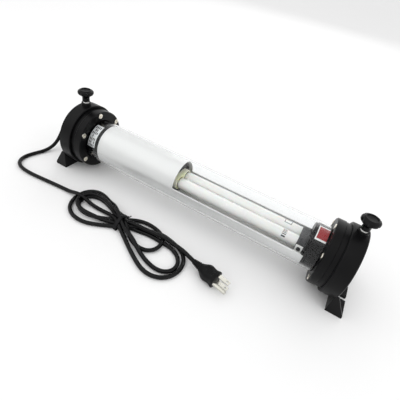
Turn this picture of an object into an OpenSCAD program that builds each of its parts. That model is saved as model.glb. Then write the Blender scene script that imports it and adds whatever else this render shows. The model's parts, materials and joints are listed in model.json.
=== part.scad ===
// Sealed tubular lamp on two turning foot brackets.
// The tube lies along X. The floor is z = 0 and the tube's axis is axis_h above it.
// "e" is always the distance outboard from the inner face of a flange.

/* [Clear tube] */
// Outer diameter of the clear tube
tube_od = 70; // [68:1:84]
// Wall of the clear tube
tube_wall = 2.5; // [2:0.5:4]
// Visible tube between the two flange faces
face_gap = 400; // [330:5:500]
// Height of the tube's axis above the floor
axis_h = 55; // [55:1:70]

/* [End caps] */
// Radial width of the flange around the tube
flange_rim = 14; // [13:0.5:18]
// Thickness of the flange
flange_t = 12.5; // [11:0.5:16]
// Length of the cap behind the flange
cap_len = 27.5; // [26:0.5:36]
// How far the cap is set in from the flange's edge
cap_step = 0.85; // [0.5:0.05:2]
// Thickness of the cap's end wall
end_wall = 4; // [3:0.5:5]
// Flange screws on each cap
flange_screws = 6; // [4:1:8]
// Shank diameter of a flange screw
screw_d = 4; // [3:0.5:5]

/* [Brackets] */
// Radial wall of the bracket's ring
ring_wall = 4; // [3:0.5:6]
// Width of the bracket's ring along the tube
ring_w = 22; // [18:0.5:24]
// Gap between the flange and the bracket's ring
ring_gap = 7; // [5:0.5:8]
// Clearance between the ring and the cap it turns on
turn_gap = 0.3; // [0.2:0.1:0.5]
// Width of the foot across the tube
foot_w = 95; // [80:1:110]
// How far the foot reaches outboard of the ring
foot_reach = 19.5; // [16:0.5:30]
// Thickness of the foot plate
foot_t = 4; // [3:0.5:6]
// Thickness of the upright web and of the side gussets
web_t = 3; // [2:0.5:4]
// Width of an open fixing slot
slot_w = 7; // [5:0.5:9]
// Distance between the two slots of one foot
slot_pitch = 28; // [20:1:40]
// Depth of a slot, from the open end to the centre of its round end
slot_depth = 11; // [8:0.5:14]

/* [Clamp knobs] */
// Diameter of the knob's head
knob_d = 25; // [18:1:28]
// Lobes round the knob's head
knob_lobes = 6; // [5:1:7]
// Diameter of the knob's neck
neck_d = 12; // [11:0.5:14]
// Knob height above the boss
knob_h = 21.5; // [18:0.5:26]
// Diameter of the clamp screw
stud_d = 6; // [5:0.5:7]
// Running clearance around the clamp screw
stud_gap = 0.1; // [0.05:0.01:0.1]

/* [Sleeve and lamp] */
// Sheet thickness of the aluminium sleeve
sleeve_t = 0.8; // [0.6:0.1:1.2]
// Radial gap between the sleeve and the clear tube
sleeve_gap = 0.7; // [0.5:0.1:1]
// Length of the closed part of the sleeve, which holds the ballast
closed_len = 148; // [140:1:190]
// Height of the open part's edges above the tube's axis
cut_rise = 1; // [0:0.5:4]
// Diameter of each lamp tube
lamp_d = 17.5; // [15:0.5:18]
// Distance between the axes of the two lamp tubes
lamp_pitch = 21; // [19.5:0.5:22]
// Height of the lamp above the tube's axis
lamp_rise = 1.5; // [0:0.5:3]

/* [Cord and plug] */
// Diameter of the mains cord
cord_d = 6.2; // [6.2:0.1:6.6]
// Width and height of the plug's body
plug_w = 23; // [21:0.5:27]
plug_h = 21; // [20:0.5:25]

/* [Hidden] */

$fn = 96;
eps = 0.01;
half = face_gap / 2;
LEFT = -1;
RIGHT = 1;

// Radii about the tube's axis
tube_r = tube_od / 2;
bore_r = tube_r - tube_wall;
socket_r = tube_r + 0.3;
flange_r = tube_r + flange_rim + 0.25;
cap_r = flange_r - cap_step;
screw_ring_r = (flange_r + tube_r) / 2 + 1.9;
ring_r0 = cap_r + turn_gap;
ring_r1 = ring_r0 + ring_wall;
insert_r = bore_r - 0.3;
insert_wall = 2.6;
sleeve_r1 = bore_r - sleeve_gap;
sleeve_r0 = sleeve_r1 - sleeve_t;
spigot_r = sleeve_r0 - 0.1;
insert_bore = insert_r - insert_wall;
boss_pcd = insert_r - 6.2;

// Stations outboard of a flange's face
cap_end = flange_t + cap_len;
cavity_e0 = flange_t + 8.5;
cavity_e1 = cap_end - end_wall;
cavity_r = cap_r - 8.4;
tube_in = cavity_e0 - 1;
ring_e0 = flange_t + ring_gap;
ring_e1 = ring_e0 + ring_w;
knob_e = ring_e0 + ring_w / 2;
foot_e1 = ring_e1 + foot_reach;
groove_w = stud_d + 2;
groove_depth = 2;

// Stations along the inside of the tube, in X
insert_l_in = 22;
insert_r_in = 19;
spigot_len = 3;
sleeve_x0 = -half + insert_l_in;
sleeve_x1 = half - insert_r_in;
window_x = sleeve_x0 + closed_len;
bulkhead_x = window_x - 10;
bulkhead_t = 3;
clip_x0 = bulkhead_x + bulkhead_t;
clip_len = 8;
lamp_x0 = clip_x0 + 4.5;
base_x0 = half - 34;
base_x1 = sleeve_x1 - 2.5;
tongue_x1 = base_x1 + 11;
holder_x1 = tongue_x1 + 8;
lamp_z = axis_h + lamp_rise;

// Clamp knob heights above the tube's axis
groove_r = cap_r - groove_depth;
pad_z0 = groove_r + 0.3;
pad_t = 2;
boss_z = ring_r1 + 4.7;
washer_t = 2.2;
knob_z0 = boss_z + washer_t;
knob_z1 = boss_z + knob_h;

// Cable gland along the axis of the left cap
gland_r = cord_d / 2 + 2.9;
entry_e = cavity_e1 - 8;
gland_hex_e = cap_end + 3;
gland_nut_e = gland_hex_e + 5;
relief_len = 20;
exit_x = -half - gland_nut_e - relief_len;

// Route of the cord's free lead, on the centre line, from the relief's tip to the hank. It is drawn for
// an exit at X = -268 and a height of 55, and it follows the exit where that moves.
cord_z = 3.2;
lead_drawn = [[-268, 0, 55], [-273, 0, 54.6], [-279, -0.3, 52.4], [-284.5, -1, 48],
    [-288.8, -2.6, 41], [-291.8, -5.5, 32], [-293.6, -10.5, 22.5], [-295.3, -18, 13.5], [-297.8, -27.5, 7],
    [-300.5, -37, 4], [-303, -47, cord_z], [-306, -58, cord_z], [-308, -69, cord_z], [-307.3, -80, cord_z],
    [-301.5, -90, cord_z], [-291, -96.8, cord_z], [-276, -99.5, cord_z], [-258, -99.3, cord_z],
    [-236, -97, cord_z], [-214, -94.5, cord_z], [-192, -92.5, cord_z], [-178, -92, 3.7], [-168, -92, 4.7]];
lead_rise = (axis_h - cord_z) / (55 - cord_z);
function lead_share(x) = max(0, min(1, (-192 - x) / 76));
LEAD = [for (p = lead_drawn) [p[0] + (exit_x + 268) * lead_share(p[0]), p[1],
    p[0] > -192 ? p[2] : cord_z + (p[2] - cord_z) * lead_rise]];

// Hank: two lobes that meet at the tie
hank_tie = [-73, -96];
hank_left = [-132, -96];
hank_right = [14, -113];
hank_lobe_r = 36.5;
hank_neck_r = 11.5;
hank_h = 13.5;
tie_w = 6;
tie_t = 1.4;

// Plug: the relief's end is its origin, and it points along its own X
plug_o = [55, -95.3];
plug_turn = -12;
plug_z = plug_h / 2 + 0.4;
relief_x1 = 13;
plug_face = 42;
blade_gap = 12.7;
blade_y = 3.6;
ground_y = -7.4;

// Route of the short run from the hank to the plug
TAIL = [[33, -87.2, 7.6], [43, -90.4, 9.2], [50, -93.2, 10.2], [plug_o[0] + 0.5, plug_o[1] - 0.1, plug_z]];

// ---- helpers ------------------------------------------------------------

// Solid of revolution about the tube's axis, from X = x0 to x1
module rod_x(x0, x1, r) {
    translate([x0, 0, axis_h]) rotate([0, 90, 0]) cylinder(h = x1 - x0, r = r);
}

// Hollow one, open at both ends
module pipe_x(x0, x1, r1, r0) {
    difference() {
        rod_x(x0, x1, r1);
        rod_x(x0 - 1, x1 + 1, r0);
    }
}

// Places children, drawn with +X outboard from a flange's face and the axis at z = 0
module at_end(side) {
    translate([side * half, 0, axis_h]) mirror([side < 0 ? 1 : 0, 0, 0]) children();
}

// Cylinder along local X, centred on (y, z)
module bar(e0, e1, r, y = 0, z = 0) {
    translate([e0, y, z]) rotate([0, 90, 0]) cylinder(h = e1 - e0, r = r);
}

// Spins a profile, given as [radius, e] points, about local X
module spin_x(points) {
    rotate([0, 90, 0]) rotate_extrude() polygon(points);
}

// A block between two corners
module block(a, b) {
    translate(a) cube([b[0] - a[0], b[1] - a[1], b[2] - a[2]]);
}

// Copies children round the local X axis, first one straight up
module ring_of(count, r, first = 0) {
    for (i = [0 : count - 1]) rotate([first + i * 360 / count, 0, 0]) translate([0, 0, r]) children();
}

// Flat ring-shaped outline of two round ends, length along Y
module stadium(pitch, r) {
    for (s = [-1, 1]) translate([0, s * pitch / 2]) circle(r);
    square([2 * r, pitch], center = true);
}

// The same, as a bar from X = x0 to x1 at the lamp's height
module stadium_x(x0, x1, pitch, r) {
    translate([x0, 0, lamp_z]) rotate([0, 90, 0]) linear_extrude(x1 - x0) stadium(pitch, r);
}

// Points along an arc
function arc(c, r, a0, a1, n) = [for (i = [0 : n])
    let (a = a0 + (a1 - a0) * i / n) c + r * [cos(a), sin(a)]];

// Tube swept along points: one ring of sides at each point
function unit(v) = v / norm(v);
function heading(p, i) = unit(p[min(i + 1, len(p) - 1)] - p[max(i - 1, 0)]);
function upright(t, n) = unit(n - (n * t) * t);
function carried(p, n, i = 0) = i == len(p) ? [] :
    let (m = upright(heading(p, i), n)) concat([m], carried(p, m, i + 1));
function ring_at(c, t, m, r, n) = [for (k = [0 : n - 1])
    c + r * (cos(360 * k / n) * m + sin(360 * k / n) * cross(t, m))];
module sweep(p, r, n) {
    last = len(p) - 1;
    normals = carried(p, [0, 0.1, 1]);
    polyhedron(
        points = [for (i = [0 : last]) each ring_at(p[i], heading(p, i), normals[i], r, n)],
        faces = concat([[for (k = [n - 1 : -1 : 0]) k]], [[for (k = [0 : n - 1]) last * n + k]],
            [for (i = [0 : last - 1], k = [0 : n - 1])
                [i * n + k, i * n + (k + 1) % n, (i + 1) * n + (k + 1) % n, (i + 1) * n + k]]),
        convexity = 8);
}

// ---- clear tube and end caps ---------------------------------------------

module clear_tube() {
    color("lightcyan", 0.3) pipe_x(-half - tube_in, half + tube_in, tube_r, bore_r);
}

// Cup behind the flange, with the tube's socket, a cavity and the clamp groove
module end_cap(side) {
    color([0.06, 0.06, 0.06]) at_end(side) difference() {
        spin_x([[0, flange_t], [cap_r, flange_t], [cap_r, knob_e - groove_w / 2],
            [groove_r, knob_e - groove_w / 2], [groove_r, knob_e + groove_w / 2],
            [cap_r, knob_e + groove_w / 2], [cap_r, cap_end - 1.5], [cap_r - 1.5, cap_end], [0, cap_end]]);
        bar(flange_t - 1, cavity_e0 + eps, socket_r);
        bar(cavity_e0, cavity_e1, cavity_r);
        ring_of(flange_screws, screw_ring_r) bar(flange_t - 1, flange_t + 7, screw_d / 2);
        ring_of(3, boss_pcd, 60) bar(cavity_e1 - 1, cap_end + 1, 1.8);
        if (side == LEFT) bar(cavity_e1 - 1, cap_end + 1, gland_r);
    }
}

// Ring that clamps the seal onto the tube
module flange(side) {
    color([0.07, 0.07, 0.07]) at_end(side) difference() {
        spin_x([[socket_r, 0], [flange_r - 1.2, 0], [flange_r, 1.2], [flange_r, flange_t - 0.8],
            [flange_r - 0.6, flange_t], [socket_r + 2.8, flange_t], [socket_r + 2.8, flange_t - 4.6],
            [socket_r, flange_t - 4.6]]);
        ring_of(flange_screws, screw_ring_r) {
            bar(-1, flange_t + 1, screw_d / 2 + 0.2);
            bar(-1, 1.6, screw_d + 0.3);
        }
    }
}

// Pan-head screws with a cross recess, heads standing a little proud of the flange
module flange_screw_set(side) {
    color("gainsboro") at_end(side) ring_of(flange_screws, screw_ring_r) difference() {
        union() {
            bar(-1, 1.6, screw_d);
            bar(1.5, flange_t + 6.5, screw_d / 2);
        }
        for (a = [0, 90]) rotate([a, 0, 0]) block([-1.5, -0.5, -2.3], [0.4, 0.5, 2.3]);
    }
}

module tube_seal(side) {
    color([0.12, 0.12, 0.12]) at_end(side)
        spin_x([[tube_r, flange_t - 4.5], [socket_r + 2.7, flange_t - 4.5],
            [socket_r + 2.7, flange_t], [tube_r, flange_t]]);
}

// Black liner inside the tube: seats on the cap's end wall, closed at its inner end
module insert(side, reach) {
    wall_e = -reach;
    at_end(side) difference() {
        union() {
            bar(wall_e, cavity_e1, insert_r);
            bar(wall_e - spigot_len, wall_e + eps, spigot_r);
        }
        difference() {
            bar(wall_e + insert_wall, cavity_e1 + 1, insert_bore);
            ring_of(3, boss_pcd, 60) bar(cavity_e1 - 10, cavity_e1 + 1, 4);
            ring_of(3, insert_r - 3.1, 60) bar(cavity_e1 - 10, cavity_e1 + 1, 4);
        }
        ring_of(3, boss_pcd, 60) bar(cavity_e1 - 9, cavity_e1 + 1, 1.5);
    }
}

module left_insert() {
    color([0.05, 0.05, 0.05]) {
        difference() {
            insert(LEFT, insert_l_in);
            rod_x(sleeve_x0 - insert_wall - 1, sleeve_x0 + spigot_len + 1, 7);
        }
        intersection() {
            rod_x(block_x0, block_x0 + 16, insert_r - 1);
            block([block_x0, -14, axis_h - tube_r], [block_x0 + 16, 14, block_z]);
        }
    }
}

module right_insert() {
    color([0.05, 0.05, 0.05]) difference() {
        insert(RIGHT, insert_r_in);
        stadium_x(sleeve_x1 - spigot_len - 1, sleeve_x1 + insert_wall + 1, lamp_pitch + 1, 11.3);
        lead_holes(sleeve_x1 - spigot_len - 1, sleeve_x1 + insert_wall + 1);
        block([sleeve_x1 - spigot_len - 1, -cheek_y - 3, lamp_z - 5.4],
            [sleeve_x1 + insert_wall + 1, -lamp_pitch / 2, lamp_z + 5.9]);
    }
}

module insert_screw_set(side) {
    color("silver") at_end(side) ring_of(3, boss_pcd, 60) {
        bar(cap_end, cap_end + 2, 3.4);
        bar(cavity_e1 - 8, cap_end + eps, 1.5);
    }
}

// ---- inside the tube -------------------------------------------------------

// Full cylinder over the ballast, open trough under the lamp, with hemmed edges
module reflector_sleeve() {
    color("gainsboro") {
        difference() {
            pipe_x(sleeve_x0, sleeve_x1, sleeve_r1, sleeve_r0);
            block([window_x, -tube_r, axis_h + cut_rise], [sleeve_x1 + 1, tube_r, axis_h + tube_r]);
        }
        for (s = [-1, 1]) translate([window_x, s * (sleeve_r0 - 0.2), axis_h + cut_rise])
            rotate([0, 90, 0]) cylinder(h = sleeve_x1 - spigot_len - 0.3 - window_x, r = 0.9, $fn = 24);
    }
}

// Paths of the wires that run under the lamp
module lead_holes(x0, x1) {
    for (s = [-1, 1]) translate([x0, s * 4, axis_h - sleeve_r0 + 4]) rotate([0, 90, 0])
        cylinder(h = x1 - x0, r = 2, $fn = 32);
}

module sleeve_bulkhead() {
    color([0.1, 0.1, 0.1]) difference() {
        rod_x(bulkhead_x, bulkhead_x + bulkhead_t, sleeve_r0);
        lead_holes(bulkhead_x - 1, bulkhead_x + bulkhead_t + 1);
        rod_x(bulkhead_x - 1, bulkhead_x + bulkhead_t + 1, 1.5);
    }
}

tray_z = axis_h - 16;
tray_half = 22;
ballast_x0 = sleeve_x0 + 18;
ballast_x1 = bulkhead_x - 14;

// Folded sheet that carries the ballast on the sleeve's floor
module ballast_tray() {
    color("silver") difference() {
        intersection() {
            union() {
                block([sleeve_x0 + 5, -tray_half, tray_z], [bulkhead_x, tray_half, tray_z + 1]);
                for (s = [-1, 1]) block([sleeve_x0 + 5, s * 14 - 0.6, axis_h - tube_r],
                    [bulkhead_x - 12, s * 14 + 0.6, tray_z + eps]);
            }
            rod_x(sleeve_x0 + 4, bulkhead_x + 1, sleeve_r0);
        }
        for (x = [ballast_x0 - 5, ballast_x1 + 5]) translate([x, 0, tray_z - 1]) cylinder(h = 3, r = 1.6);
    }
}

module ballast_case() {
    color("whitesmoke") difference() {
        union() {
            block([ballast_x0, -19, tray_z + 1], [ballast_x1, 19, tray_z + 27]);
            block([ballast_x0 - 10, -8, tray_z + 1], [ballast_x1 + 10, 8, tray_z + 3]);
        }
        for (x = [ballast_x0 - 5, ballast_x1 + 5]) translate([x, 0, tray_z]) cylinder(h = 4, r = 1.8);
    }
}

module ballast_screws() {
    color("silver") for (x = [ballast_x0 - 5, ballast_x1 + 5]) translate([x, 0, 0]) {
        translate([0, 0, tray_z + 3]) cylinder(h = 2, r = 3);
        translate([0, 0, tray_z - 4]) cylinder(h = 7.1, r = 1.6);
    }
}

block_x0 = -half - 6;
block_z = axis_h - 20;
module terminal_block() {
    color("ivory") difference() {
        block([block_x0, -14, block_z], [block_x0 + 16, 14, block_z + 12]);
        for (y = [-8, 0, 8]) translate([block_x0 - 1, y, block_z + 6]) rotate([0, 90, 0])
            cylinder(h = 18, r = 1.8, $fn = 32);
    }
}

// Three cores from the gland to the terminal block, then two on to the ballast
module mains_wires() {
    z = block_z + 6;
    color("green") {
        for (y = [-8, 0, 8]) sweep([[-half - entry_e, y * 0.3, axis_h],
            [-half - entry_e + 5, y * 0.35, axis_h - 1],
            [-half - 16, y * 0.8, z + 3], [block_x0 - 3, y, z], [block_x0 + 5, y, z]], 1.1, 8);
        for (y = [-8, 8]) sweep([[block_x0 + 11, y, z], [block_x0 + 18, y, z],
            [sleeve_x0 - 10, y * 0.7, z + 7], [sleeve_x0 - 4, y * 0.4, axis_h - 4],
            [sleeve_x0 + 6, y * 0.4, axis_h - 4], [ballast_x0 - 6, y * 0.7, axis_h - 4],
            [ballast_x0, y, axis_h - 4]], 1.1, 8);
    }
}

// Two leads from the ballast, round the tray's edges and under the lamp, to the lampholder
module lamp_leads() {
    low = axis_h - sleeve_r0 + 4;
    color("white") for (s = [-1, 1]) sweep([[ballast_x1, s * 15, axis_h - 6],
        [ballast_x1 + 2.5, s * 18, axis_h - 8], [ballast_x1 + 4.5, s * 22.5, axis_h - 11],
        [ballast_x1 + 6, s * 24.2, axis_h - 15.5], [ballast_x1 + 7.5, s * 22, axis_h - 19.5],
        [ballast_x1 + 9, s * 17, axis_h - 23], [ballast_x1 + 11, s * 9, low + 1],
        [bulkhead_x - 1, s * 4.2, low], [bulkhead_x + 2, s * 4, low], [sleeve_x1 - 4, s * 4, low],
        [sleeve_x1 + 4, s * 4, low], [holder_x1 + 1, s * 4, low + 3], [holder_x1 + 7, s * 4, lamp_z - 18],
        [holder_x1 + 9, s * 4, lamp_z - 11], [holder_x1 + 6, s * 4, lamp_z - 6],
        [holder_x1 + 1, s * 4, lamp_z - 5], [holder_x1 - 4, s * 4, lamp_z - 5]],
        1.2, 8);
}

// ---- lamp ------------------------------------------------------------------

// Twin tube closed by round ends, joined by a short bridge near them
module lamp_tubes() {
    r = lamp_d / 2;
    color("white") {
        for (s = [-1, 1]) translate([0, s * lamp_pitch / 2, lamp_z]) {
            translate([lamp_x0 + r, 0, 0]) rotate([0, 90, 0]) cylinder(h = base_x0 - lamp_x0 - r, r = r);
            translate([lamp_x0 + r, 0, 0]) sphere(r);
        }
        translate([lamp_x0 + r + 3, -lamp_pitch / 2, lamp_z]) rotate([-90, 0, 0])
            cylinder(h = lamp_pitch, r = 4);
    }
}

// Ribbed moulded base with a narrower tongue that enters the lampholder
module lamp_base() {
    color([0.2, 0.2, 0.2]) difference() {
        union() {
            stadium_x(base_x0, base_x1, lamp_pitch + 1, lamp_d / 2 + 1);
            for (x = [base_x0 + 2.2 : 2.6 : base_x1 - 1.5])
                stadium_x(x, x + 1.2, lamp_pitch + 1, lamp_d / 2 + 1.5);
            stadium_x(base_x1 - eps, tongue_x1, lamp_pitch - 4, 7.5);
        }
        for (y = [-9, -3, 3, 9]) translate([tongue_x1 - 3, y, lamp_z]) rotate([0, 90, 0])
            cylinder(h = 5, r = 1.2, $fn = 32);
    }
}

module lamp_pins() {
    color("goldenrod") for (y = [-9, -3, 3, 9]) translate([tongue_x1 - 3, y, lamp_z]) rotate([0, 90, 0])
        cylinder(h = 9, r = 1.2, $fn = 32);
}

// Socket block in the right insert's opening, with a cheek beside the lamp's base
cheek_y = lamp_pitch / 2 + 0.5 + lamp_d / 2 + 2;
module lampholder() {
    color([0.08, 0.08, 0.08]) difference() {
        union() {
            stadium_x(base_x1 + 0.3, holder_x1, lamp_pitch + 1, 11);
            translate([0, 0, lamp_z]) {
                block([base_x0, -cheek_y - 2.6, -5], [holder_x1 - 6, -cheek_y, 5.5]);
                block([base_x1 + 0.3, -cheek_y - eps, -5], [holder_x1 - 6, -cheek_y + 4, 5.5]);
            }
        }
        stadium_x(base_x1, tongue_x1 + 0.3, lamp_pitch - 4, 7.8);
        for (y = [-9, -3, 3, 9]) translate([tongue_x1, y, lamp_z]) rotate([0, 90, 0])
            cylinder(h = 7, r = 1.4, $fn = 32);
        for (y = [-4, 4]) translate([holder_x1 - 5, y, lamp_z - 5]) rotate([0, 90, 0])
            cylinder(h = 6, r = 1.6, $fn = 32);
        tab_hole(1.4);
    }
}

tab_x = base_x0 + 5.5;
module tab_hole(r) {
    translate([tab_x, -cheek_y - 4, lamp_z + 1.5]) rotate([-90, 0, 0]) cylinder(h = 4.6, r = r, $fn = 32);
}

// Bent white tongue that ties the lampholder's cheek to the sleeve's wall
module lampholder_tab() {
    y1 = -cheek_y - 2.6;
    foot_z = axis_h - 1.8;
    wall_y = -sqrt(pow(sleeve_r0, 2) - pow(axis_h - foot_z + 1, 2)) + 0.05;
    color("white") difference() {
        union() {
            block([tab_x - 5, y1 - 1, foot_z - 1], [tab_x + 5, y1, lamp_z + 7]);
            block([tab_x - 5, wall_y, foot_z - 1], [tab_x + 5, y1, foot_z]);
        }
        tab_hole(1.6);
    }
}

module tab_screw() {
    y1 = -cheek_y - 3.6;
    color([0.05, 0.05, 0.05]) translate([tab_x, 0, lamp_z + 1.5]) rotate([-90, 0, 0]) {
        translate([0, 0, y1 - 1.6]) cylinder(h = 1.6, r = 2.8, $fn = 32);
        translate([0, 0, y1 - eps]) cylinder(h = 3.4, r = 1.4, $fn = 32);
    }
}

// Cream plastic cradle that holds the lamp's closed ends
module lamp_clip() {
    color("lightyellow") difference() {
        stadium_x(clip_x0, clip_x0 + clip_len, lamp_pitch, lamp_d / 2 + 2.6);
        for (s = [-1, 1]) translate([clip_x0 + 2.5, s * lamp_pitch / 2, lamp_z]) rotate([0, 90, 0])
            cylinder(h = clip_len, r = lamp_d / 2 + 0.2);
        rod_x(clip_x0 - 1, clip_x0 + 3, 1.6);
        rod_x(clip_x0 + 2.5, clip_x0 + clip_len + 1, 3.2);
    }
}

module clip_screw() {
    color("silver") {
        rod_x(clip_x0 + 2.5, clip_x0 + 4.3, 2.8);
        rod_x(bulkhead_x - 2, clip_x0 + 2.6, 1.5);
    }
}

// Thin labels on the inserts, under the clear tube
module label_on(side, e0, e1, from_deg, sweep_deg) {
    at_end(side) rotate([0, 90, 0]) rotate([0, 0, from_deg]) rotate_extrude(angle = sweep_deg)
        translate([insert_r, e0]) square([0.2, e1 - e0]);
}

module rating_label() { color("lightgray") label_on(LEFT, -16, -2, 194, 69); }
module warning_label() { color("red") label_on(RIGHT, -17, -2, 174, 43); }

// ---- cable gland -----------------------------------------------------------

module gland_body() {
    color([0.08, 0.08, 0.08]) at_end(LEFT) difference() {
        union() {
            bar(cavity_e1 - 6, gland_nut_e - 2, gland_r - 0.1);
            translate([cap_end, 0, 0]) rotate([0, 90, 0])
                cylinder(h = gland_hex_e - cap_end, r = gland_r + 3.5, $fn = 6);
        }
        bar(cavity_e1 - 7, gland_nut_e, cord_d / 2);
    }
}

module gland_locknut() {
    color([0.08, 0.08, 0.08]) at_end(LEFT) difference() {
        translate([cavity_e1 - 3.5, 0, 0]) rotate([0, 90, 0]) cylinder(h = 3.4, r = gland_r + 3, $fn = 6);
        bar(cavity_e1 - 5, cavity_e1 + 1, gland_r);
    }
}

module gland_nut() {
    color([0.08, 0.08, 0.08]) at_end(LEFT) difference() {
        spin_x([[0, gland_hex_e], [gland_r + 2.6, gland_hex_e], [gland_r + 2.6, gland_nut_e - 2],
            [gland_r, gland_nut_e], [0, gland_nut_e]]);
        bar(gland_hex_e - 1, gland_nut_e - 1.9, gland_r);
        bar(gland_hex_e, gland_nut_e + 1, cord_d / 2);
    }
}

// Tapered flexible sleeve, with shallow rings, round the cord
module strain_relief() {
    rings = 6;
    step = relief_len / rings;
    color([0.1, 0.1, 0.1]) at_end(LEFT) difference() {
        union() {
            spin_x([[0, gland_nut_e], [cord_d / 2 + 2.2, gland_nut_e],
                [cord_d / 2 + 1, gland_nut_e + relief_len], [0, gland_nut_e + relief_len]]);
            for (i = [0 : rings - 2]) bar(gland_nut_e + (i + 0.4) * step, gland_nut_e + (i + 0.8) * step,
                cord_d / 2 + 2.8 - 0.25 * i);
        }
        bar(gland_nut_e - 1, gland_nut_e + relief_len + 1, cord_d / 2);
    }
}

// ---- foot brackets and clamp knobs ------------------------------------------

// Ring round the cap, with an upright web, a foot plate and two side gussets outboard of it
module bracket(side) {
    w = foot_w / 2;
    web_top = -axis_h + 32;
    color([0.06, 0.06, 0.06]) at_end(side) difference() {
        union() {
            spin_x([[0, ring_e0], [ring_r1 - 0.8, ring_e0], [ring_r1, ring_e0 + 0.8],
                [ring_r1, ring_e1 - 1.2], [ring_r1 - 1.2, ring_e1], [0, ring_e1]]);
            block([ring_e1 - web_t, -w, -axis_h], [ring_e1, w, web_top]);
            block([ring_e1 - web_t, -w, -axis_h], [foot_e1, w, -axis_h + foot_t]);
            for (y = [-w, w - web_t]) translate([0, y + web_t, 0]) rotate([90, 0, 0]) linear_extrude(web_t)
                polygon([[ring_e1 - web_t, -axis_h], [foot_e1, -axis_h], [foot_e1, -axis_h + foot_t],
                    [ring_e1 + 3, web_top], [ring_e1 - web_t, web_top]]);
            translate([knob_e, 0, ring_r0 + 1]) cylinder(h = boss_z - ring_r0 - 1, r = 7.5);
        }
        bar(ring_e0 - 1, ring_e1 + 1, ring_r0);
        translate([knob_e, 0, ring_r0 - 3]) cylinder(h = boss_z, r = stud_d / 2 + stud_gap);
        for (s = [-1, 1]) translate([0, s * slot_pitch / 2, -axis_h - 1]) {
            translate([foot_e1 - slot_depth, 0, 0]) cylinder(h = foot_t + 2, r = slot_w / 2);
            translate([foot_e1 - slot_depth, -slot_w / 2, 0]) cube([slot_depth + 1, slot_w, foot_t + 2]);
        }
    }
}

// Stack on the clamp screw's axis, drawn with z measured from the tube's axis
module on_knob(side) {
    at_end(side) translate([knob_e, 0, 0]) children();
}

module pressure_pad(side) {
    color("tan") on_knob(side) translate([0, 0, pad_z0]) cylinder(h = pad_t, r = stud_d / 2 - 0.1);
}

module clamp_screw(side) {
    color("silver") on_knob(side) translate([0, 0, pad_z0 + pad_t])
        cylinder(h = knob_z0 + 8 - pad_z0 - pad_t, r = stud_d / 2);
}

module knob_washer(side) {
    color("white") on_knob(side) difference() {
        translate([0, 0, boss_z + 0.1]) cylinder(h = washer_t - 0.1, r = neck_d / 2 - 1.2);
        translate([0, 0, boss_z - 1]) cylinder(h = washer_t + 2, r = stud_d / 2);
    }
}

// Knob with a lobed head and a dished top
module knob(side) {
    r = knob_d / 2;
    n = neck_d / 2;
    scallop_r = 4.5;
    scallop_in = 1.3;
    color([0.07, 0.07, 0.07]) on_knob(side) difference() {
        rotate_extrude() polygon([[0, knob_z0], [n - 0.5, knob_z0], [n, knob_z0 + 0.5],
            [n - 0.3, knob_z0 + 6], [n + 0.6, knob_z0 + 8.5], [n + 3.2, knob_z1 - 8.6],
            [r - 0.8, knob_z1 - 7], [r, knob_z1 - 5.8],
            [r, knob_z1 - 3.2], [r - 0.8, knob_z1 - 2], [r - 2.6, knob_z1 - 1.2], [r - 4, knob_z1],
            [r - 5, knob_z1], [r - 5.6, knob_z1 - 1.4], [0, knob_z1 - 2]]);
        translate([0, 0, knob_z0 - 1]) cylinder(h = 9, r = stud_d / 2);
        for (i = [0 : knob_lobes - 1]) rotate([0, 0, (i + 0.5) * 360 / knob_lobes])
            translate([r + scallop_r - scallop_in, 0, knob_z1 - 9]) cylinder(h = 10, r = scallop_r);
    }
}

// ---- cord and plug -----------------------------------------------------------

// The part of the cord that is held inside the gland
module cord_entry() {
    color([0.08, 0.08, 0.08]) at_end(LEFT) bar(entry_e, gland_nut_e + relief_len, cord_d / 2);
}

module cord_lead() { color([0.08, 0.08, 0.08]) sweep(LEAD, cord_d / 2, 10); }
module cord_tail() { color([0.08, 0.08, 0.08]) sweep(TAIL, cord_d / 2, 10); }

// Outline round both lobes, in straight lines to the neck
module hank_outline() {
    neck = [0, hank_neck_r];
    to_left = hank_left - hank_tie;
    to_right = hank_right - hank_tie;
    lean_left = acos((hank_lobe_r - hank_neck_r) / norm(to_left));
    lean_right = acos((hank_lobe_r - hank_neck_r) / norm(to_right));
    left_deg = atan2(-to_left[1], -to_left[0]);
    right_deg = atan2(-to_right[1], -to_right[0]);
    polygon(concat(arc(hank_left, hank_lobe_r, left_deg + lean_left, left_deg + 360 - lean_left, 40),
        [hank_tie - neck],
        arc(hank_right, hank_lobe_r, right_deg + lean_right, right_deg + 360 - lean_right, 40),
        [hank_tie + neck]));
}

module cord_hank() { color([0.1, 0.1, 0.1]) linear_extrude(hank_h) hank_outline(); }

// Wire tie over the top and both sides of the hank's neck, with its twisted ends
module cord_tie() {
    color([0.12, 0.12, 0.12]) {
        difference() {
            translate([hank_tie[0] - tie_w / 2, hank_tie[1] - hank_neck_r - tie_t - 1, 0])
                cube([tie_w, 2 * (hank_neck_r + tie_t + 1), hank_h + tie_t]);
            translate([0, 0, -1]) linear_extrude(hank_h + 1) hank_outline();
        }
        translate([hank_tie[0], hank_tie[1] + hank_neck_r - 2, hank_h + tie_t]) rotate([-70, 0, -20])
            cylinder(h = 9, r = 1.3, $fn = 16);
    }
}

module at_plug() {
    translate([plug_o[0], plug_o[1], plug_z]) rotate([0, 0, plug_turn]) children();
}

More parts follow.
